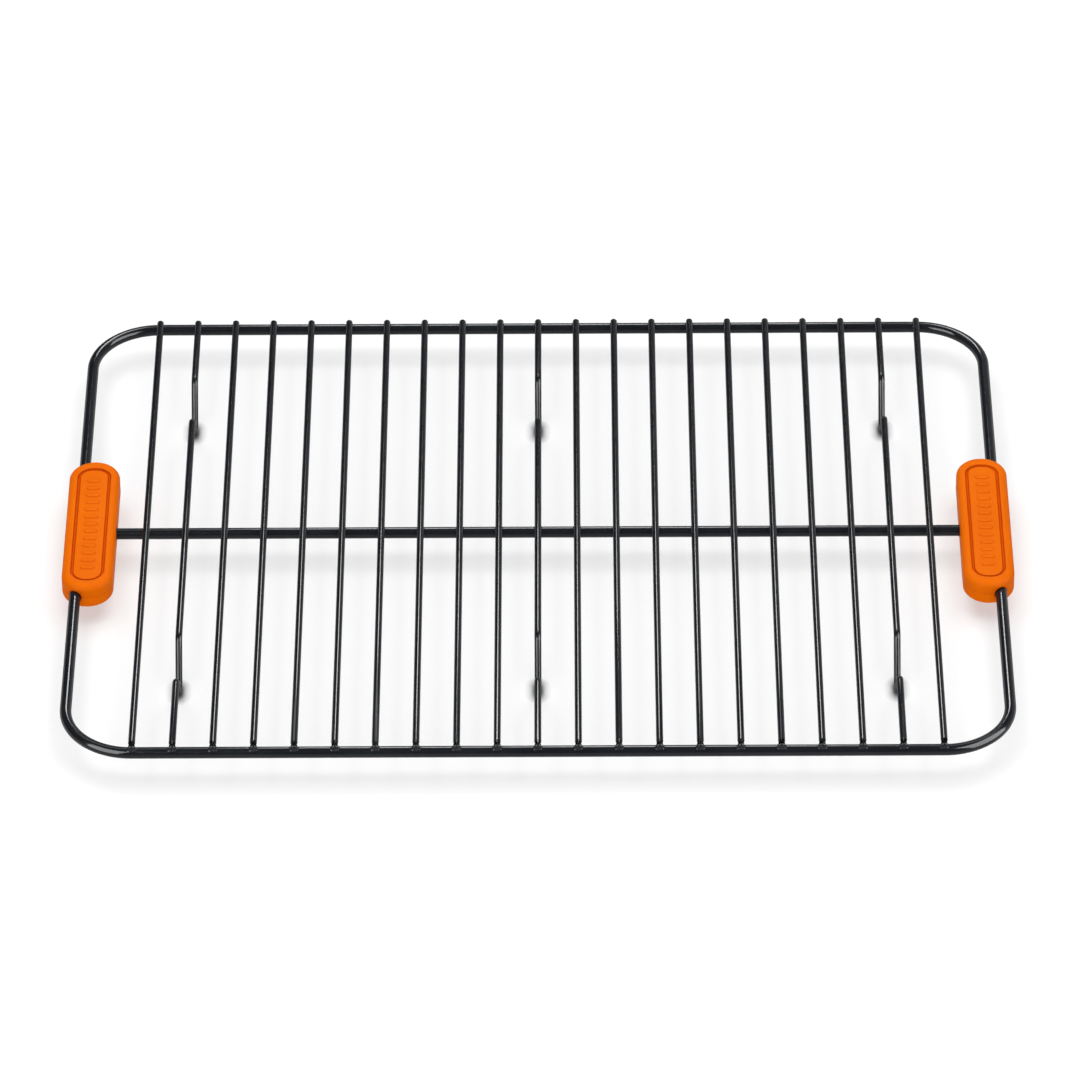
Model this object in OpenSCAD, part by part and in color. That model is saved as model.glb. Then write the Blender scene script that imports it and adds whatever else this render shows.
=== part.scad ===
// Wire cooling rack. A bent rod frame and one centre rod carry a row of cross
// wires; three of the wires dip to the table to form six V-shaped feet; a grip
// in two halves closes round the middle of each side bar.
// Millimetres. X runs along the rack, Y from front to rear, Z up from the table.

/* [Frame] */
// Distance between the axes of the two side bars
frame_span_x = 407.6; // [300:0.2:500]
// Distance between the axes of the front and rear bars
frame_span_y = 304.2; // [220:0.2:380]
// Centreline radius of the four frame corners
corner_radius = 29.5; // [15:0.5:60]
// Diameter of the frame rod and of the centre rod
rod_d = 5; // [3.5:0.1:7]

/* [Cross wires] */
// Diameter of a cross wire
wire_d = 3; // [2:0.1:4]
// Number of cross wires
wire_count = 21; // [9:2:27]
// Centre distance between neighbouring wires
wire_pitch = 17.4; // [10:0.1:25]
// How deep a wire is sunk into the bars it crosses
weld_sink = 0.3; // [0.1:0.05:0.6]
// How far a wire runs past the axis of the front bar
front_overrun = 2.1; // [0:0.1:2.3]
// How far a wire runs past the axis of the rear bar
rear_overrun = 0.8; // [0:0.1:2.3]
// Chamfer on the cut ends of a wire
wire_chamfer = 0.4; // [0.1:0.05:0.8]

/* [Feet] */
// Plain wires outside each outer foot wire
foot_wire_inset = 1; // [0:1:4]
// Distance of a foot from the centre rod
foot_y = 93.0; // [60:0.2:125]
// How far a foot dips below its wire
foot_drop = 17.1; // [10:0.1:30]
// Slope of the two legs of a foot; a 3-4-5 triangle keeps every joint exact
foot_leg_angle = 53.1301; // [35:0.0001:70]
// Centreline radius of the bends in a foot
foot_bend_radius = 4.5; // [3:0.25:8]

/* [Welds] */
// Radius of the bead round a wire crossing
bead_r = 2.2; // [2:0.05:2.6]
// How far the centre of that bead lies below the top of the bar
bead_depth = 0.4; // [0.2:0.05:0.8]
// Radius of the bead where the centre rod meets a side bar
rod_bead_r = 3.4; // [2.8:0.1:4]

/* [Grips] */
// Length of a grip along the side bar
grip_length = 92; // [60:1:130]
// Width of a grip
grip_width = 22.6; // [16:0.2:30]
// Thickness of a grip, shared equally by its halves
grip_thickness = 12; // [9:0.2:18]
// How far a grip reaches outside the axis of the side bar
grip_reach = 6.2; // [4:0.1:10]
// How far a grip sits behind the middle of its side bar
grip_shift = 0.4; // [-1:0.1:1]
// Edge radius of the upper half
grip_upper_radius = 3; // [1:0.1:4.5]
// Edge radius of the lower half
grip_lower_radius = 2.2; // [1:0.1:4.5]
// Radius of the flared mouths where the rods leave a grip
mouth_r = 2.9; // [2.6:0.05:3.5]
// Depth of those mouths
mouth_depth = 2.2; // [1:0.1:4]

/* [Grip panel] */
// Length of the outlined panel on a grip, on the middle of its groove
panel_length = 79.6; // [40:0.2:85]
// Width of the panel, on the middle of its groove
panel_width = 13.6; // [8:0.2:14]
// Corner radius of the panel, on the middle of its groove
panel_corner = 6.2; // [2:0.1:6.6]
// Width of the groove that outlines the panel
groove_width = 1.3; // [0.6:0.05:1.6]
// Depth of the groove below the top of the grip
groove_depth = 1.2; // [0.4:0.05:1.4]
// How far the panel lies below the top of the grip
panel_depth = 0.4; // [0.1:0.05:0.6]
// Number of raised ribs on the panel
rib_count = 13; // [1:2:13]
// Centre distance between ribs
rib_pitch = 5.2; // [3:0.1:8]
// Length of a rib across the panel
rib_length = 5.6; // [3:0.1:10]
// Width of a rib
rib_width = 1.8; // [1:0.1:3]

/* [Locating pegs] */
// Radius of the pegs that key the two halves of a grip
peg_r = 1.6; // [1:0.05:2]
// Length of a peg
peg_length = 4; // [2:0.1:4.6]
// Radial clearance of a peg in its socket
peg_clearance = 0.05; // [0.02:0.01:0.2]
// Extra depth of a socket below its peg
socket_relief = 0.3; // [0.1:0.05:0.6]
// Distance of a peg from the centre rod
peg_y = 24; // [12:0.5:32]
// Distance of a peg from the inner face of the grip
peg_inset = 5.2; // [4:0.1:8]

/* [Build] */
// Sub-part to build, or all of them

/* [Hidden] */
$fn = 64;
bead_fn = 96;
rod_r = rod_d / 2;
wire_r = wire_d / 2;
half_x = frame_span_x / 2;
half_y = frame_span_y / 2;
wire_z = wire_r + foot_drop;
rod_z = wire_z - rod_r - wire_r + weld_sink;
front_end_y = half_y + front_overrun;
rear_end_y = half_y + rear_overrun;
bead_z = rod_z + rod_r - bead_depth;
rod_cope = 0.3;
rod_bead_x = half_x - rod_r - 0.5;

last_wire = wire_count - 1;
mid_wire = last_wire / 2;
foot_wires = [foot_wire_inset, mid_wire, last_wire - foot_wire_inset];
all_wires = [for (i = [0 : last_wire]) i];
plain_wires = [for (i = all_wires) if (len(search(i, foot_wires)) == 0) i];

foot_vertex = foot_drop + foot_bend_radius * (1 / cos(foot_leg_angle) - 1);
foot_half_width = foot_vertex / tan(foot_leg_angle);
elbow_tangent = foot_bend_radius * tan(foot_leg_angle / 2);
toe_tangent = foot_bend_radius * tan(foot_leg_angle);
leg_length = foot_vertex / sin(foot_leg_angle) - elbow_tangent - toe_tangent;
inner_elbow_y = foot_y - foot_half_width - elbow_tangent;
outer_elbow_y = foot_y + foot_half_width + elbow_tangent;

grip_x = half_x + grip_reach - grip_width / 2;
grip_end_r = grip_width / 2;
grip_straight = grip_length - grip_width;
grip_half = grip_thickness / 2;
grip_top = rod_z + grip_half;
grip_inner_x = grip_x - grip_end_r;
peg_x = grip_inner_x + peg_inset;
groove_half = groove_width / 2;
over = 1;

function wire_x(i) = (i - mid_wire) * wire_pitch;
function wire_name(i) = str("cross_wire_", i < 9 ? "0" : "", i + 1);

// ---------------------------------------------------------------- helpers

// Cylinder along X, centred on the given point.
module x_rod(length, r) {
    rotate([0, 90, 0]) cylinder(h = length, r = r, center = true);
}

// Cylinder along Y, centred on the given point.
module y_rod(length, r) {
    rotate([90, 0, 0]) cylinder(h = length, r = r, center = true);
}

// Straight run of wire along Y between two positions, at wire height.
module wire_run(y_from, y_to) {
    translate([0, y_from, wire_z])
        rotate([-90, 0, 0])
            cylinder(h = y_to - y_from, r = wire_r);
}

// Chamfered tip of a wire, pointing to +Y from the given position.
module wire_tip(y_from) {
    translate([0, y_from, wire_z])
        rotate([-90, 0, 0])
            cylinder(h = wire_chamfer, r1 = wire_r, r2 = wire_r - wire_chamfer);
}

// The room one wire takes, longer than the wire itself.
module wire_bore(i) {
    translate([wire_x(i), 0, wire_z]) y_rod(frame_span_y + 20, wire_r);
}

module all_wire_bores() {
    for (i = all_wires) wire_bore(i);
}

module frame_quarter() {
    translate([half_x - corner_radius, half_y - corner_radius, 0])
        rotate_extrude(angle = 90)
            translate([corner_radius, 0]) circle(r = rod_r);
}

// The closed frame loop before the wires are let into it.
module frame_loop() {
    translate([0, 0, rod_z]) {
        for (s = [-1, 1]) {
            translate([0, s * half_y, 0]) x_rod(frame_span_x - 2 * corner_radius, rod_r);
            translate([s * half_x, 0, 0]) y_rod(frame_span_y - 2 * corner_radius, rod_r);
        }
        frame_quarter();
        mirror([1, 0, 0]) frame_quarter();
        mirror([0, 1, 0]) frame_quarter();
        mirror([1, 0, 0]) mirror([0, 1, 0]) frame_quarter();
    }
}

module side_bar(s, length) {
    translate([s * half_x, 0, rod_z]) y_rod(length, rod_r);
}

// ---------------------------------------------------------------- frame

module frame_rod() {
    color([0.045, 0.05, 0.055])
    difference() {
        frame_loop();
        all_wire_bores();
    }
}

module centre_rod() {
    color([0.045, 0.05, 0.055])
    difference() {
        translate([0, 0, rod_z]) x_rod(2 * (half_x - rod_r + rod_cope), rod_r);
        all_wire_bores();
        for (s = [-1, 1]) side_bar(s, 40);
    }
}

// ---------------------------------------------------------------- wires

module cross_wire(i) {
    color([0.06, 0.066, 0.072])
    translate([wire_x(i), 0, 0]) {
        wire_run(wire_chamfer - front_end_y, rear_end_y - wire_chamfer);
        wire_tip(rear_end_y - wire_chamfer);
        mirror([0, 1, 0]) wire_tip(front_end_y - wire_chamfer);
    }
}

// Elbow in the vertical plane between a level run and a leg: centre at y,
// swept through the leg angle from the given polar angle.
module foot_elbow(y, start) {
    translate([0, y, wire_z - foot_bend_radius])
        rotate([90, 0, 90])
            rotate([0, 0, start])
                rotate_extrude(angle = foot_leg_angle)
                    translate([foot_bend_radius, 0]) circle(r = wire_r);
}

// Straight leg that leaves the inner elbow, going down and towards +Y.
module foot_leg() {
    drop = foot_bend_radius * (1 - cos(foot_leg_angle));
    run = foot_bend_radius * sin(foot_leg_angle);
    translate([0, inner_elbow_y + run, wire_z - drop])
        rotate([-90 - foot_leg_angle, 0, 0])
            cylinder(h = leg_length, r = wire_r);
}

// Round toe: the piece of a full ring that lies between the two legs.
module foot_toe() {
    reach = 4 * foot_bend_radius;
    side = reach * sin(foot_leg_angle);
    down = reach * cos(foot_leg_angle);
    translate([0, foot_y, wire_r + foot_bend_radius])
        rotate([90, 0, 90])
            intersection() {
                rotate_extrude() translate([foot_bend_radius, 0]) circle(r = wire_r);
                linear_extrude(4 * wire_r, center = true)
                    polygon([[0, 0], [-side, -down], [-side, -reach],
                             [side, -reach], [side, -down]]);
            }
}

// One V-shaped foot on the +Y side.
module foot() {
    foot_elbow(inner_elbow_y, 90 - foot_leg_angle);
    foot_leg();
    foot_toe();
    translate([0, 2 * foot_y, 0]) mirror([0, 1, 0]) foot_leg();
    foot_elbow(outer_elbow_y, 90);
}

module foot_wire_half(end_y) {
    wire_run(0, inner_elbow_y);
    foot();
    wire_run(outer_elbow_y, end_y - wire_chamfer);
    wire_tip(end_y - wire_chamfer);
}

module foot_wire(i) {
    color([0.06, 0.066, 0.072])
    translate([wire_x(i), 0, 0]) {
        foot_wire_half(rear_end_y);
        mirror([0, 1, 0]) foot_wire_half(front_end_y);
    }
}

module foot_wire_left() { foot_wire(foot_wires[0]); }
module foot_wire_centre() { foot_wire(foot_wires[1]); }
module foot_wire_right() { foot_wire(foot_wires[2]); }

// ---------------------------------------------------------------- welds

// Bead that fills the crevice where one wire crosses a bar.
module crossing_bead(i, y) {
    difference() {
        translate([wire_x(i), y, bead_z]) sphere(r = bead_r, $fn = bead_fn);
        wire_bore(i);
        translate([wire_x(i), y, rod_z]) x_rod(4 * bead_r, rod_r);
    }
}

module welds_row(y) {
    color([0.05, 0.055, 0.06])
    for (i = all_wires) crossing_bead(i, y);
}

module welds_front() { welds_row(-half_y); }
module welds_centre() { welds_row(0); }
module welds_rear() { welds_row(half_y); }

module rod_bead_ball(s) {
    translate([s * rod_bead_x, 0, rod_z]) sphere(r = rod_bead_r, $fn = bead_fn);
}

// Beads that join the ends of the centre rod to the side bars.
module welds_rod_ends() {
    color([0.05, 0.055, 0.06])
    for (s = [-1, 1])
        difference() {
            rod_bead_ball(s);
            side_bar(s, 40);
            translate([0, 0, rod_z]) x_rod(2 * half_x, rod_r);
        }
}

// ---------------------------------------------------------------- grips

// Right half of a grip's cross-section above the parting plane.
module grip_profile(edge_r) {
    square([grip_end_r - edge_r, grip_half]);
    square([grip_end_r, grip_half - edge_r]);
    intersection() {
        translate([grip_end_r - edge_r, grip_half - edge_r]) circle(r = edge_r);
        translate([grip_end_r - edge_r, grip_half - edge_r]) square([edge_r, edge_r]);
    }
}

// Solid half of a grip with its parting face on Z = 0 and its round ends.
module grip_blank(edge_r) {
    rotate([90, 0, 0])
        linear_extrude(grip_straight, center = true) {
            grip_profile(edge_r);
            mirror([1, 0]) grip_profile(edge_r);
        }
    translate([0, grip_straight / 2, 0])
        rotate_extrude(angle = 180) grip_profile(edge_r);
    translate([0, -grip_straight / 2, 0])
        rotate([0, 0, 180])
            rotate_extrude(angle = 180) grip_profile(edge_r);
}

// Passages for the side bar, the centre rod and the bead where they meet, for
// the grip at the right, in the frame of the rack.
module rod_passages() {
    side_bar(1, grip_length + 2 * over);
    translate([half_x, 0, rod_z]) {
        for (s = [-1, 1])
            translate([0, grip_shift + s * grip_length / 2, 0])
                y_rod(2 * mouth_depth, mouth_r);
    }
    translate([0, 0, rod_z]) x_rod(2 * half_x, rod_r);
    translate([grip_inner_x, 0, rod_z]) x_rod(2 * mouth_depth, mouth_r);
    rod_bead_ball(1);
}

module rounded_rect(width, length, r) {
    square([width - 2 * r, length], center = true);
    square([width, length - 2 * r], center = true);
    for (a = [-1, 1], b = [-1, 1])
        translate([a * (width / 2 - r), b * (length / 2 - r)]) circle(r = r);
}

// What is cut from the top of a grip: the sunk panel and its outline groove.
module panel_cut() {
    outer_w = panel_width + 2 * groove_half;
    outer_l = panel_length + 2 * groove_half;
    inner_w = panel_width - 2 * groove_half;
    inner_l = panel_length - 2 * groove_half;
    translate([0, 0, grip_half - groove_depth])
        difference() {
            linear_extrude(groove_depth + over)
                rounded_rect(outer_w, outer_l, panel_corner + groove_half);
            translate([0, 0, -over])
                linear_extrude(groove_depth - panel_depth + over)
                    rounded_rect(inner_w, inner_l, panel_corner - groove_half);
        }
}

// Raised ribs across the panel, level with the top of the grip.
module panel_ribs() {
    for (i = [0 : rib_count - 1])
        translate([-rib_length / 2, (i - (rib_count - 1) / 2) * rib_pitch - rib_width / 2,
                   grip_half - 2 * panel_depth])
            cube([rib_length, rib_width, 2 * panel_depth]);
}

module grip_upper() {
    color([0.93, 0.36, 0.03])
    difference() {
        union() {
            translate([grip_x, grip_shift, rod_z]) {
                difference() {
                    grip_blank(grip_upper_radius);
                    translate([0, -grip_shift, 0]) panel_cut();
                }
                translate([0, -grip_shift, 0]) panel_ribs();
            }
            for (s = [-1, 1])
                translate([peg_x, s * peg_y, rod_z - peg_length])
                    cylinder(h = peg_length + 1, r = peg_r);
        }
        rod_passages();
    }
}

module grip_lower() {
    socket_depth = peg_length + socket_relief;
    color([0.88, 0.33, 0.03])
    difference() {
        translate([grip_x, grip_shift, rod_z])
            mirror([0, 0, 1]) grip_blank(grip_lower_radius);
        rod_passages();
        for (s = [-1, 1])
            translate([peg_x, s * peg_y, rod_z - socket_depth])
                cylinder(h = socket_depth + over, r = peg_r + peg_clearance);
    }
}

module grip_right_upper() { grip_upper(); }
module grip_right_lower() { grip_lower(); }
module grip_left_upper() { mirror([1, 0, 0]) grip_upper(); }
module grip_left_lower() { mirror([1, 0, 0]) grip_lower(); }

// ---------------------------------------------------------------- assembly

frame_rod();
centre_rod();
for (i = plain_wires) {
    cross_wire(i);
}
foot_wire_left();
foot_wire_centre();
foot_wire_right();
welds_front();
welds_centre();
welds_rear();
welds_rod_ends();
grip_left_upper();
grip_left_lower();
grip_right_upper();
grip_right_lower();
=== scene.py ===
"""Looks of the wire cooling rack: coated rods and wires with their weld fillets, and two soft grips."""

import math
import random

import bmesh
import bpy
from mathutils import Matrix, Vector


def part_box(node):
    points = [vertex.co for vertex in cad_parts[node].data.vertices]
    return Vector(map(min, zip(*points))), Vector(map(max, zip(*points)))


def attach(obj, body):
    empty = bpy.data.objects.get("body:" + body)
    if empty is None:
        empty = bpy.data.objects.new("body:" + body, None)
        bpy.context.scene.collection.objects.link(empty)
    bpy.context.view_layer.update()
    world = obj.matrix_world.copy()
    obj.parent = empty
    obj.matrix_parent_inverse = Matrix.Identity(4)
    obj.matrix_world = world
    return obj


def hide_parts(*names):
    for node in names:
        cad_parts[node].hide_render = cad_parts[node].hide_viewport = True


MM = 0.001

# Shape of the rack, in millimetres, as the CAD model has it.
ROD_R = 2.5
WIRE_R = 1.5
ROD_SIDES = 56
CORNER_R = 29.5
FOOT_Y = 93.0
FOOT_HALF = 15.075
FOOT_BEND_R = 4.5
FOOT_ANGLE = math.atan(4 / 3)
GRIP_EDGE_UPPER = 3.0
GRIP_EDGE_LOWER = 2.2
PANEL_LENGTH = 79.6
PANEL_WIDTH = 13.6
PANEL_CORNER = 6.2
PANEL_DEPTH = 0.4
GROOVE_DEPTH = 1.2
RIB_COUNT = 13
RIB_PITCH = 5.2
RIB_LENGTH = 5.6
RIB_WIDTH = 1.8
MOUTH_R = 2.9
MOUTH_DEPTH = 2.2

# Finish of the edges, in millimetres.
WIRE_END_ROUND = 0.6
END_FILLET_R = 0.6
CROSSING_FILLET_R = 0.42
FILLET_ROOT = 0.35
PARTING_CHAMFER = 0.1

# How far the grips' painted groove shade and the floor's painted contact shadow reach, in metres.
GROOVE_SHADE_REACH = 0.0016
CONTACT_SHADOW_REACH = 0.005

# Camera: place in metres, angles in degrees, lens in millimetres.
CAMERA_PLACE = (0.01237, -2.54405, 2.00975)
CAMERA_YAW = 0.294
CAMERA_PITCH = 38.135
CAMERA_ROLL = -0.419
CAMERA_LENS = 243.9
FLOOR_HALF = 6000


# ---------------------------------------------------------------- mesh tools


def make_object(name, verts, faces, material, smooth_angle=40.0):
    """A mesh object from millimetre points, shaded smooth except across sharp edges."""
    mesh = bpy.data.meshes.new(name)
    mesh.from_pydata([Vector(v) * MM for v in verts], [], faces)
    mesh.validate()
    bm = bmesh.new()
    bm.from_mesh(mesh)
    bmesh.ops.remove_doubles(bm, verts=bm.verts, dist=1e-7)
    bmesh.ops.recalc_face_normals(bm, faces=bm.faces)
    bm.to_mesh(mesh)
    bm.free()
    mesh.shade_smooth()
    mesh.set_sharp_from_angle(angle=math.radians(smooth_angle))
    mesh.materials.append(material)
    obj = bpy.data.objects.new(name, mesh)
    bpy.context.scene.collection.objects.link(obj)
    return obj


def stitch_rings(rings, closed_length):
    """Quads between neighbouring rings of equal point counts."""
    count = len(rings[0])
    faces = []
    last = len(rings) if closed_length else len(rings) - 1
    for i in range(last):
        a = i * count
        b = ((i + 1) % len(rings)) * count
        for j in range(count):
            k = (j + 1) % count
            faces.append((a + j, a + k, b + k, b + j))
    return faces


def flatten(rings):
    return [point for ring in rings for point in ring]


def arc_2d(centre, radius, start, sweep, steps):
    """Points of an arc in a plane, with both of its ends."""
    points = []
    for i in range(steps + 1):
        a = start + sweep * i / steps
        points.append((centre[0] + radius * math.cos(a), centre[1] + radius * math.sin(a)))
    return points


def ring_round(point, tangent, binormal, radius, sides):
    """Circle of points round a path point whose path lies in a plane."""
    normal = binormal.cross(tangent)
    ring = []
    for j in range(sides):
        a = 2 * math.pi * j / sides
        ring.append(point + radius * (math.cos(a) * normal + math.sin(a) * binormal))
    return ring


def path_tangents(points, closed):
    tangents = []
    count = len(points)
    for i in range(count):
        if closed:
            before, after = points[i - 1], points[(i + 1) % count]
        else:
            before, after = points[max(i - 1, 0)], points[min(i + 1, count - 1)]
        tangents.append((after - before).normalized())
    return tangents


# ---------------------------------------------------------------- rods and wires


def frame_path(half_x, half_y, z):
    """Centreline of the frame: a rectangle with round corners, each corner an exact arc."""
    points = []
    corners = ((1, 1, 0.0), (-1, 1, 0.5), (-1, -1, 1.0), (1, -1, 1.5))
    for sx, sy, start in corners:
        centre = (sx * (half_x - CORNER_R), sy * (half_y - CORNER_R))
        for x, y in arc_2d(centre, CORNER_R, start * math.pi, math.pi / 2, 28):
            points.append(Vector((x, y, z)))
    return points


def wire_end_rings(end, direction, binormal, sides):
    """Rings of a cut wire end whose edge is rounded and whose face is slightly crowned."""
    rings = []
    core = WIRE_R - WIRE_END_ROUND
    for i in range(7):
        a = math.pi / 2 * i / 6
        radius = core + WIRE_END_ROUND * math.cos(a)
        back = WIRE_END_ROUND * (1 - math.sin(a)) + 0.06
        rings.append(ring_round(end - back * direction, direction, binormal, radius, sides))
    for share, back in ((0.6, 0.02), (0.25, 0.0)):
        rings.append(ring_round(end - back * direction, direction, binormal, core * share, sides))
    return rings


def wire_mesh(name, path, material, sides=36):
    """Round wire along a path in a vertical plane of constant X, with rounded cut ends."""
    binormal = Vector((1, 0, 0))
    tangents = path_tangents(path, closed=False)
    body = [
        ring_round(p, t, binormal, WIRE_R, sides)
        for p, t in zip(path[1:-1], tangents[1:-1])
    ]
    head = wire_end_rings(path[0], -tangents[0], binormal, sides)
    tail = wire_end_rings(path[-1], tangents[-1], binormal, sides)
    for ring in head:
        ring.reverse()
        ring.insert(0, ring.pop())
    rings = list(reversed(head)) + body + tail
    faces = stitch_rings(rings, closed_length=False)
    faces.append(tuple(range(sides)))
    top = (len(rings) - 1) * sides
    faces.append(tuple(range(top, top + sides)))
    return make_object(name, flatten(rings), faces, material)


def straight_path(x, front, rear, z):
    return [Vector((x, y, z)) for y in (front, front + 4, -60, 60, rear - 4, rear)]


def foot_points(z):
    """(y, z) points of one foot on the +Y side, from its inner to its outer elbow."""
    elbow = FOOT_BEND_R * math.tan(FOOT_ANGLE / 2)
    toe_z = WIRE_R + FOOT_BEND_R
    inner = arc_2d((FOOT_Y - FOOT_HALF - elbow, z - FOOT_BEND_R), FOOT_BEND_R,
                   math.pi / 2, -FOOT_ANGLE, 10)
    toe = arc_2d((FOOT_Y, toe_z), FOOT_BEND_R,
                 1.5 * math.pi - FOOT_ANGLE, 2 * FOOT_ANGLE, 20)
    outer = arc_2d((FOOT_Y + FOOT_HALF + elbow, z - FOOT_BEND_R), FOOT_BEND_R,
                   math.pi / 2 + FOOT_ANGLE, -FOOT_ANGLE, 10)
    return inner + toe + outer


def foot_path(x, front, rear, z):
    rear_foot = foot_points(z)
    front_foot = [(-y, h) for y, h in reversed(rear_foot)]
    flat = [(front, z), (front + 4, z)] + front_foot + rear_foot + [(rear - 4, z), (rear, z)]
    return [Vector((x, y, h)) for y, h in flat]


def build_frame_ring(material, half_x, half_y, z):
    path = frame_path(half_x, half_y, z)
    tangents = path_tangents(path, closed=True)
    binormal = Vector((0, 0, 1))
    rings = [ring_round(p, t, binormal, ROD_R, ROD_SIDES) for p, t in zip(path, tangents)]
    faces = stitch_rings(rings, closed_length=True)
    return make_object("frame_ring", flatten(rings), faces, material)


def build_centre_bar(material, half_length, z):
    binormal = Vector((0, 1, 0))
    path = [Vector((x, 0, z)) for x in (-half_length, -half_length / 2, 0, half_length / 2, half_length)]
    rings = [ring_round(p, Vector((1, 0, 0)), binormal, ROD_R, ROD_SIDES) for p in path]
    return make_object("centre_bar", flatten(rings), closed_loft(rings), material)


# ---------------------------------------------------------------- weld fillets


def wire_distance(p, rise, end):
    """Signed distance to a wire along Y, rise above the bar's axis, that stops at y = end if given."""
    radial = math.hypot(p.x, p.z - rise)
    if end is None:
        return radial - WIRE_R
    across = radial - (WIRE_R - WIRE_END_ROUND)
    along = p.y - (end - WIRE_END_ROUND)
    outside = math.hypot(max(across, 0.0), max(along, 0.0))
    return min(max(across, along), 0.0) + outside - WIRE_END_ROUND


def rod_distance(p):
    return math.hypot(p.y, p.z) - ROD_R


def gradient(distance, p):
    step = 1e-4
    parts = []
    for axis in (Vector((1, 0, 0)), Vector((0, 1, 0)), Vector((0, 0, 1))):
        parts.append(distance(p + step * axis) - distance(p - step * axis))
    return Vector(parts).normalized()


def ball_centre(phi, radius, rise, end):
    """Centre of a ball that touches both the bar and the wire, in the given compass direction."""
    reach = ROD_R + radius
    low, high = 0.0, 9.0
    if abs(math.sin(phi)) > 1e-6:
        high = min(high, reach * 0.99999 / abs(math.sin(phi)))
    for _ in range(50):
        mid = (low + high) / 2
        y = mid * math.sin(phi)
        p = Vector((mid * math.cos(phi), y, math.sqrt(reach * reach - y * y)))
        if wire_distance(p, rise, end) < radius:
            low = mid
        else:
            high = mid
    return p


def fillet_rings(radius, rise, end, around=56, across=8):
    """Closed profiles, one for each compass direction, of the fillet round a crossing."""
    rings = []
    for i in range(around):
        phi = 2 * math.pi * (i + 0.5) / around
        centre = ball_centre(phi, radius, rise, end)
        to_wire = -gradient(lambda p: wire_distance(p, rise, end), centre)
        to_rod = -gradient(rod_distance, centre)
        ring = []
        for j in range(across + 1):
            direction = to_wire.slerp(to_rod, j / across)
            ring.append(centre + radius * direction)
        ring.append(centre + (radius + FILLET_ROOT) * to_rod)
        ring.append(centre + (radius + FILLET_ROOT) * to_wire)
        rings.append(ring)
    return rings


def build_fillets(name, material, wire_xs, bar_y, rod_z, rise, end, side, fillet_r, seed):
    """One row of fillets along a bar. side is the sign of Y where the wires stop."""
    rng = random.Random(seed)
    verts, faces = [], []
    for x in wire_xs:
        radius = fillet_r * rng.uniform(0.9, 1.15)
        rings = fillet_rings(radius, rise, end)
        base = len(verts)
        for face in stitch_rings(rings, closed_length=True):
            faces.append(tuple(base + v for v in face))
        for p in flatten(rings):
            verts.append((x + p.x, bar_y + side * p.y, rod_z + p.z))
    return make_object(name, verts, faces, material, smooth_angle=60.0)


# ---------------------------------------------------------------- grips


def rounded_outline(width, length, radius, z, steps=22):
    """Rounded rectangle on the XY plane at height z, the same number of points at any size."""
    ring = []
    corners = ((1, 1, 0.0), (-1, 1, 0.5), (-1, -1, 1.0), (1, -1, 1.5))
    for sx, sy, start in corners:
        centre = (sx * (width / 2 - radius), sy * (length / 2 - radius))
        for x, y in arc_2d(centre, radius, start * math.pi, math.pi / 2, steps):
            ring.append(Vector((x, y, z)))
    return ring


def stadium(width, length, inset, z, shift):
    w = width - 2 * inset
    ring = rounded_outline(w, length - 2 * inset, w / 2 - 1e-3, z)
    return [p + Vector((0, shift, 0)) for p in ring]


def panel_ring(offset, z):
    return rounded_outline(PANEL_WIDTH + 2 * offset, PANEL_LENGTH + 2 * offset,
                           PANEL_CORNER + offset, z)


def side_profile(edge_r, half):
    """(inset, height) from the parting plane over the rounded edge to the flat."""
    points = [(PARTING_CHAMFER, 0.0), (0.03, 0.07), (0.0, 0.2)]
    for i in range(13):
        a = math.radians(84) * i / 12
        points.append((edge_r * (1 - math.cos(a)), half - edge_r * (1 - math.sin(a))))
    return points


def groove_profile():
    """(offset from the groove's middle, depth) across the groove, from shoulder to panel."""
    return (
        (0.9, 0.0), (0.79, 0.03), (0.7, 0.12), (0.64, 0.28), (0.6, 0.6),
        (0.52, 0.92), (0.3, 1.14), (0.0, GROOVE_DEPTH), (-0.3, 1.15), (-0.5, 0.98),
        (-0.6, 0.78), (-0.66, 0.6), (-0.76, 0.47), (-0.9, PANEL_DEPTH + 0.01),
        (-1.1, PANEL_DEPTH),
    )


def closed_loft(rings):
    faces = stitch_rings(rings, closed_length=False)
    count = len(rings[0])
    faces.append(tuple(range(count)))
    top = (len(rings) - 1) * count
    faces.append(tuple(range(top, top + count)))
    return faces


def upper_rings(width, length, half, shift):
    profile = side_profile(GRIP_EDGE_UPPER, half)
    rings = [stadium(width, length, inset, z, shift) for inset, z in profile]
    rings += [panel_ring(offset, half - depth) for offset, depth in groove_profile()]
    return rings


def lower_rings(width, length, half, shift):
    profile = side_profile(GRIP_EDGE_LOWER, half)
    profile.append((GRIP_EDGE_LOWER + 0.4, half))
    return [stadium(width, length, inset, -z, shift) for inset, z in profile]


def rib_rings(y, top):
    """Soft-edged raised bar across the panel, flared a little at its foot."""
    profile = ((0.35, -PANEL_DEPTH - 0.1), (0.35, -PANEL_DEPTH), (0.16, -PANEL_DEPTH + 0.05),
               (0.06, -0.14), (0.0, -0.07), (-0.1, -0.015), (-0.25, 0.0))
    rings = []
    for offset, z in profile:
        width = RIB_LENGTH + 2 * offset
        length = RIB_WIDTH + 2 * offset
        ring = rounded_outline(width, length, RIB_WIDTH / 2 + offset - 0.02, top + z, steps=8)
        rings.append([Vector((p.x, p.y + y, p.z)) for p in ring])
    return rings


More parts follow.
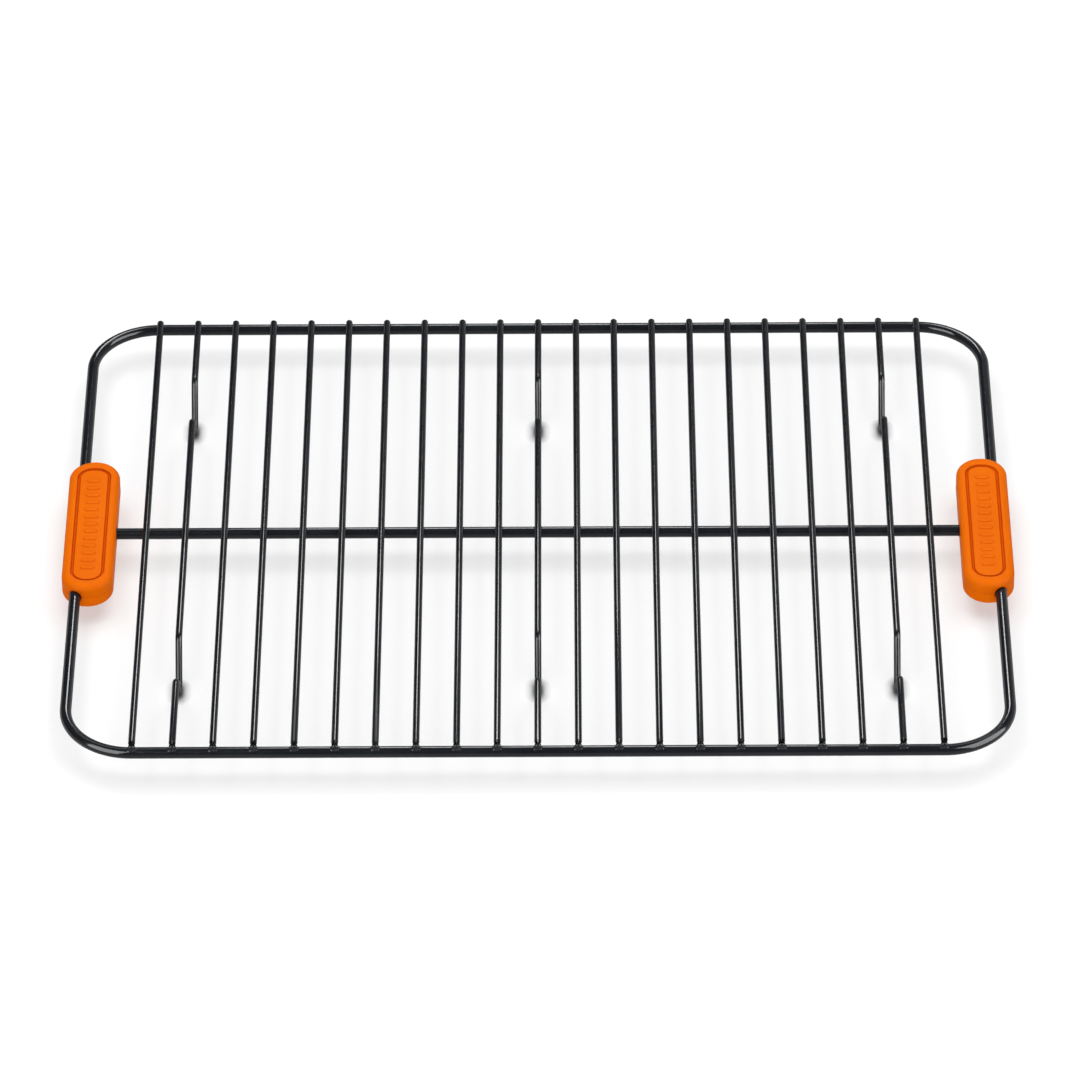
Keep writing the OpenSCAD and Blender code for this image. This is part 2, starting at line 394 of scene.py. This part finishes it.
def cylinder_mesh(verts, faces, start, end, radius, sides=56):
    """Adds a closed cylinder between two points to the lists."""
    axis = (end - start).normalized()
    helper = Vector((0, 0, 1)) if abs(axis.z) < 0.9 else Vector((1, 0, 0))
    u = axis.cross(helper).normalized()
    v = axis.cross(u)
    base = len(verts)
    for centre in (start, end):
        for j in range(sides):
            a = 2 * math.pi * (j + 0.5) / sides
            verts.append(centre + radius * (math.cos(a) * u + math.sin(a) * v))
    for j in range(sides):
        k = (j + 1) % sides
        faces.append((base + j, base + k, base + sides + k, base + sides + j))
    faces.append(tuple(base + j for j in range(sides)))
    faces.append(tuple(base + sides + j for j in range(sides)))


def cut(obj, start, end, radius, material):
    """Takes a round passage out of a closed piece."""
    verts, faces = [], []
    cylinder_mesh(verts, faces, start, end, radius)
    cutter = make_object("cutter", verts, faces, material)
    mod = obj.modifiers.new("passage", "BOOLEAN")
    mod.operation = "DIFFERENCE"
    mod.solver = "EXACT"
    mod.object = cutter
    depsgraph = bpy.context.evaluated_depsgraph_get()
    mesh = bpy.data.meshes.new_from_object(obj.evaluated_get(depsgraph))
    obj.modifiers.remove(mod)
    obj.data = mesh
    bpy.data.objects.remove(cutter)


def cut_passages(obj, side, inner_x, ends, bar_x, rod_z, material):
    """The passages of the side bar and of the centre rod, with their wider mouths."""
    def at(x, y):
        return Vector((side * x, y, rod_z))

    front, rear = ends
    cut(obj, at(bar_x, front - 3), at(bar_x, rear + 3), ROD_R + 0.03, material)
    cut(obj, at(bar_x, front - 3), at(bar_x, front + MOUTH_DEPTH), MOUTH_R, material)
    cut(obj, at(bar_x, rear - MOUTH_DEPTH), at(bar_x, rear + 3), MOUTH_R, material)
    cut(obj, at(inner_x - 2, 0), at(bar_x, 0), ROD_R + 0.03, material)
    cut(obj, at(inner_x - 2, 0), at(inner_x + MOUTH_DEPTH, 0), MOUTH_R, material)


def build_grip(side, material):
    """The two halves of one grip and the ribs on its panel."""
    word = "right" if side > 0 else "left"
    low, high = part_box(f"grip_{word}_upper")
    low_b, high_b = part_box(f"grip_{word}_lower")
    centre_x = (low.x + high.x) / 2 / MM
    width = (high.x - low.x) / MM
    length = (high.y - low.y) / MM
    ends = (low.y / MM, high.y / MM)
    shift = (ends[0] + ends[1]) / 2
    inner_x = abs(centre_x) - width / 2
    rod_z = high_b.z / MM
    half = high.z / MM - rod_z
    bar_x = frame_half_x()
    pieces = []
    for part, rings in (("upper", upper_rings(width, length, half, shift)),
                        ("lower", lower_rings(width, length, half, shift))):
        verts = [(p.x + centre_x, p.y, p.z + rod_z) for p in flatten(rings)]
        obj = make_object(f"grip_{word}_{part}_shell", verts, closed_loft(rings), material)
        cut_passages(obj, side, inner_x, ends, bar_x, rod_z, material)
        obj.data.shade_smooth()
        obj.data.set_sharp_from_angle(angle=math.radians(32))
        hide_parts(f"grip_{word}_{part}")
        pieces.append(obj)
    verts, faces = [], []
    for i in range(RIB_COUNT):
        rings = rib_rings((i - (RIB_COUNT - 1) / 2) * RIB_PITCH, half)
        base = len(verts)
        faces += [tuple(base + v for v in face) for face in closed_loft(rings)]
        verts += [(p.x + centre_x, p.y, p.z + rod_z) for p in flatten(rings)]
    pieces.append(make_object(f"grip_{word}_ribs", verts, faces, material))
    for piece in pieces:
        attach(piece, "root")
    return pieces


def frame_half_x():
    low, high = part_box("frame_rod")
    return (high.x - low.x) / 2 / MM - ROD_R


# ---------------------------------------------------------------- materials


def new_material(name):
    mat = bpy.data.materials.new(name)
    mat.use_nodes = True
    nodes, links = mat.node_tree.nodes, mat.node_tree.links
    nodes.clear()
    out = nodes.new("ShaderNodeOutputMaterial")
    shader = nodes.new("ShaderNodeBsdfPrincipled")
    links.new(shader.outputs["BSDF"], out.inputs["Surface"])
    coords = nodes.new("ShaderNodeTexCoord")
    return mat, nodes, links, shader, coords


def noise(nodes, links, coords, scale, detail=2.0, rough=0.5):
    tex = nodes.new("ShaderNodeTexNoise")
    tex.inputs["Scale"].default_value = scale
    tex.inputs["Detail"].default_value = detail
    tex.inputs["Roughness"].default_value = rough
    links.new(coords.outputs["Object"], tex.inputs["Vector"])
    return tex.outputs["Fac"]


def ramp(nodes, links, value, stops):
    node = nodes.new("ShaderNodeValToRGB")
    elements = node.color_ramp.elements
    while len(elements) < len(stops):
        elements.new(0.5)
    for element, (place, colour) in zip(elements, stops):
        element.position = place
        element.color = (*colour, 1.0)
    links.new(value, node.inputs["Fac"])
    return node.outputs["Color"]


def map_range(nodes, links, value, low, high, to_low, to_high):
    node = nodes.new("ShaderNodeMapRange")
    node.inputs["From Min"].default_value = low
    node.inputs["From Max"].default_value = high
    node.inputs["To Min"].default_value = to_low
    node.inputs["To Max"].default_value = to_high
    links.new(value, node.inputs["Value"])
    return node.outputs["Result"]


def bump(nodes, links, shader, height, strength, distance, below=None):
    node = nodes.new("ShaderNodeBump")
    node.inputs["Strength"].default_value = strength
    node.inputs["Distance"].default_value = distance
    links.new(height, node.inputs["Height"])
    if below is not None:
        links.new(below, node.inputs["Normal"])
    links.new(node.outputs["Normal"], shader.inputs["Normal"])
    return node.outputs["Normal"]


def plus(nodes, links, first, second):
    node = nodes.new("ShaderNodeMath")
    node.operation = "ADD"
    links.new(first, node.inputs[0])
    links.new(second, node.inputs[1])
    return node.outputs["Value"]


def openness(nodes, reach):
    """How open a place is within reach: 1 on a free surface, less in a groove or a corner. The grip and
    floor colours paint shade from it.
    """
    node = nodes.new("ShaderNodeAmbientOcclusion")
    node.samples = 12
    node.inputs["Distance"].default_value = reach
    return node.outputs["AO"]


def coated_steel():
    """Dark non-stick coating: thin, smooth and even, with a faint orange-peel surface."""
    mat, nodes, links, shader, coords = new_material("coated_steel")
    cloudy = noise(nodes, links, coords, 55.0, detail=3.0)
    colour = ramp(nodes, links, cloudy, ((0.35, (0.0075, 0.0085, 0.0105)), (0.7, (0.0105, 0.012, 0.0145))))
    links.new(colour, shader.inputs["Base Color"])
    fine = noise(nodes, links, coords, 700.0, detail=3.0)
    facing = nodes.new("ShaderNodeLayerWeight")
    sheer = map_range(nodes, links, facing.outputs["Facing"], 0.45, 0.85, 0.0, 0.45)
    even = map_range(nodes, links, fine, 0.3, 0.7, 0.1, 0.14)
    links.new(plus(nodes, links, even, sheer), shader.inputs["Roughness"])
    peel = noise(nodes, links, coords, 420.0, detail=2.0)
    bump(nodes, links, shader, peel, 0.08, 0.00008)
    shader.inputs["IOR"].default_value = 1.27
    return mat


def silicone():
    """Satin moulded silicone with a faint matte grain, with painted shade in its grooves and corners and a
    deeper colour in random patches.
    """
    mat, nodes, links, shader, coords = new_material("silicone_orange")
    cloudy = noise(nodes, links, coords, 38.0, detail=4.0, rough=0.6)
    patches = map_range(nodes, links, cloudy, 0.3, 0.72, -0.07, 0.0)
    # Painted shade: the orange turns a deeper red where the surface is closed in, in grooves, beside ribs
    # and in corners. The patches are random tone.
    shade_and_patches = plus(nodes, links, openness(nodes, GROOVE_SHADE_REACH), patches)
    colour = ramp(nodes, links, shade_and_patches, (
        (0.45, (0.45, 0.043, 0.0003)),
        (0.86, (0.57, 0.094, 0.0006)),
        (1.0, (0.65, 0.121, 0.001)),
    ))
    links.new(colour, shader.inputs["Base Color"])
    fine = noise(nodes, links, coords, 1400.0, detail=3.0)
    links.new(map_range(nodes, links, fine, 0.3, 0.7, 0.36, 0.46), shader.inputs["Roughness"])
    grain = noise(nodes, links, coords, 3200.0, detail=2.0)
    low = bump(nodes, links, shader, grain, 0.22, 0.00004)
    swell = noise(nodes, links, coords, 160.0, detail=2.0)
    bump(nodes, links, shader, swell, 0.12, 0.0002, below=low)
    shader.inputs["IOR"].default_value = 1.4
    shader.inputs["Specular IOR Level"].default_value = 0.012
    shader.inputs["Subsurface Weight"].default_value = 0.05
    shader.inputs["Subsurface Radius"].default_value = (0.0015, 0.0004, 0.0001)
    shader.inputs["Subsurface Scale"].default_value = 0.5
    return mat


def floor_material():
    """White sheet lit from above and a little from below, with a painted contact shadow where a foot
    touches it.
    """
    mat, nodes, links, shader, coords = new_material("pale_floor")
    soft = noise(nodes, links, coords, 3.0)
    # Painted contact shadow: colour and glow fall off where a foot or wire comes close to the floor.
    contact_shadow = openness(nodes, CONTACT_SHADOW_REACH)
    patches = map_range(nodes, links, soft, 0.3, 0.7, -0.02, 0.0)
    colour = ramp(nodes, links, plus(nodes, links, contact_shadow, patches), (
        (0.6, (0.05, 0.05, 0.05)),
        (0.95, (0.46, 0.46, 0.46)),
        (1.0, (0.49, 0.49, 0.49)),
    ))
    links.new(colour, shader.inputs["Base Color"])
    shader.inputs["Emission Color"].default_value = (1.0, 1.0, 1.0, 1.0)
    links.new(map_range(nodes, links, contact_shadow, 0.6, 0.95, 0.04, 0.4), shader.inputs["Emission Strength"])
    shader.inputs["Roughness"].default_value = 0.9
    shader.inputs["Specular IOR Level"].default_value = 0.0
    return mat


# ---------------------------------------------------------------- stage


def build_floor():
    size = FLOOR_HALF
    verts = [(-size, -size, 0), (size, -size, 0), (size, size, 0), (-size, size, 0)]
    floor = make_object("floor", verts, [(0, 1, 2, 3)], floor_material())


def area_light(name, place, target, size_x, size_y, radiance, soft_only=False):
    """Rectangular light that either shows in the gloss only, or lights the surfaces only."""
    data = bpy.data.lights.new(name, "AREA")
    data.shape = "RECTANGLE"
    data.size = size_x
    data.size_y = size_y
    data.energy = radiance * math.pi * size_x * size_y
    light = bpy.data.objects.new(name, data)
    light.location = place
    light.rotation_euler = (Vector(target) - Vector(place)).to_track_quat("-Z", "Y").to_euler()
    light.visible_glossy = not soft_only
    light.visible_diffuse = soft_only
    light.visible_camera = False
    bpy.context.scene.collection.objects.link(light)


def build_world():
    """Even white surroundings that fill the shadows and stay out of the reflections."""
    world = bpy.data.worlds.new("studio")
    bpy.context.scene.world = world
    world.use_nodes = True
    nodes, links = world.node_tree.nodes, world.node_tree.links
    nodes.clear()
    out = nodes.new("ShaderNodeOutputWorld")
    back = nodes.new("ShaderNodeBackground")
    back.inputs["Color"].default_value = (1.0, 1.0, 1.0, 1.0)
    back.inputs["Strength"].default_value = 0.45
    links.new(back.outputs["Background"], out.inputs["Surface"])
    world.cycles_visibility.glossy = False


def build_lights():
    area_light("overhead", (0.0, 0.35, 2.2), (0, 0, 0), 2.6, 2.2, 3.1, soft_only=True)
    area_light("front_fill", (0.0, -2.2, 0.9), (0, 0, 0), 2.0, 1.0, 4.6, soft_only=True)
    area_light("back_box", (0.0, 1.125, 1.16), (0, 0.03, 0.71), 0.4, 0.42, 26.0)
    area_light("high_box", (0.0, 0.9, 1.55), (0, 0, 0), 1.7, 0.4, 4.5)
    area_light("rear_card", (0.45, 0.55, 0.22), (0.1, 0, 0.1), 1.7, 0.42, 0.5)
    area_light("left_card", (-1.06, -1.06, 0.8), (-0.2, -0.15, 0.2), 1.3, 1.8, 15.0)
    area_light("right_card", (1.3, -0.55, 0.8), (0.2, -0.15, 0.2), 1.7, 1.8, 15.0)


def build_camera():
    """Long lens, looking down from the front."""
    yaw = math.radians(CAMERA_YAW)
    pitch = math.radians(CAMERA_PITCH)
    roll = math.radians(CAMERA_ROLL)
    back = Vector((math.sin(yaw) * math.cos(pitch), -math.cos(yaw) * math.cos(pitch), math.sin(pitch)))
    right = Vector((math.cos(yaw), math.sin(yaw), 0))
    up = back.cross(right)
    turned_right = math.cos(roll) * right + math.sin(roll) * up
    turned_up = -math.sin(roll) * right + math.cos(roll) * up
    data = bpy.data.cameras.new("camera")
    data.sensor_width = 36.0
    data.lens = CAMERA_LENS
    data.clip_end = 50.0
    camera = bpy.data.objects.new("camera", data)
    place = Vector(CAMERA_PLACE)
    rotation = Matrix((turned_right, turned_up, back)).transposed().to_4x4()
    camera.matrix_world = Matrix.Translation(place) @ rotation
    bpy.context.scene.collection.objects.link(camera)
    bpy.context.scene.camera = camera


def build_view():
    settings = bpy.context.scene.view_settings
    settings.view_transform = "Standard"
    settings.look = "None"
    settings.exposure = 0.0
    settings.gamma = 1.0


# ---------------------------------------------------------------- assembly


def node_names(prefix):
    return sorted(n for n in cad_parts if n.startswith(prefix))


def build_steel():
    steel = coated_steel()
    low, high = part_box("frame_rod")
    rod_z = (low.z + high.z) / 2 / MM
    half_x = (high.x - low.x) / 2 / MM - ROD_R
    half_y = (high.y - low.y) / 2 / MM - ROD_R
    pieces = [build_frame_ring(steel, half_x, half_y, rod_z)]
    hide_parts("frame_rod")

    low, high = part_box("centre_rod")
    bar = build_centre_bar(steel, high.x / MM, rod_z)
    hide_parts("centre_rod")
    pieces.append(bar)

    wire_xs = []
    for node in node_names("cross_wire_") + node_names("foot_wire_"):
        low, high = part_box(node)
        x = (low.x + high.x) / 2 / MM
        z = high.z / MM - WIRE_R
        front, rear = low.y / MM, high.y / MM
        wire_xs.append(x)
        make_path = foot_path if node.startswith("foot_wire_") else straight_path
        path = make_path(x, front, rear, z)
        wire = wire_mesh(node.replace("wire", "strand"), path, steel)
        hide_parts(node)
        pieces.append(wire)

    wire_xs.sort()
    rise = z - rod_z
    rows = (
        ("fillets_front", "welds_front", -half_y, -front - half_y, -1, END_FILLET_R, 11),
        ("fillets_centre", "welds_centre", 0.0, None, 1, CROSSING_FILLET_R, 12),
        ("fillets_rear", "welds_rear", half_y, rear - half_y, 1, CROSSING_FILLET_R, 13),
    )
    for name, node, bar_y, end, side, fillet_r, seed in rows:
        row = build_fillets(name, steel, wire_xs, bar_y, rod_z, rise, end, side, fillet_r, seed)
        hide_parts(node)
        pieces.append(row)
    for piece in pieces:
        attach(piece, "root")
    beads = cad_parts["welds_rod_ends"]
    for slot in beads.material_slots:
        slot.material = steel


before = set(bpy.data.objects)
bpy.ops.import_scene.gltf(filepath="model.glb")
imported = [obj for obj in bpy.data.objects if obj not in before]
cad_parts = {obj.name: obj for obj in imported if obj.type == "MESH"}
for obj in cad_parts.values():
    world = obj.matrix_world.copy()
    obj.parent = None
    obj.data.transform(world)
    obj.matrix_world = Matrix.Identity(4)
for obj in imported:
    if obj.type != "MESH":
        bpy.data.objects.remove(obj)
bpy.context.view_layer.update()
build_view()
build_camera()
build_world()
build_lights()
build_floor()
build_steel()
rubber = silicone()
for grip_side in (-1, 1):
    build_grip(grip_side, rubber)
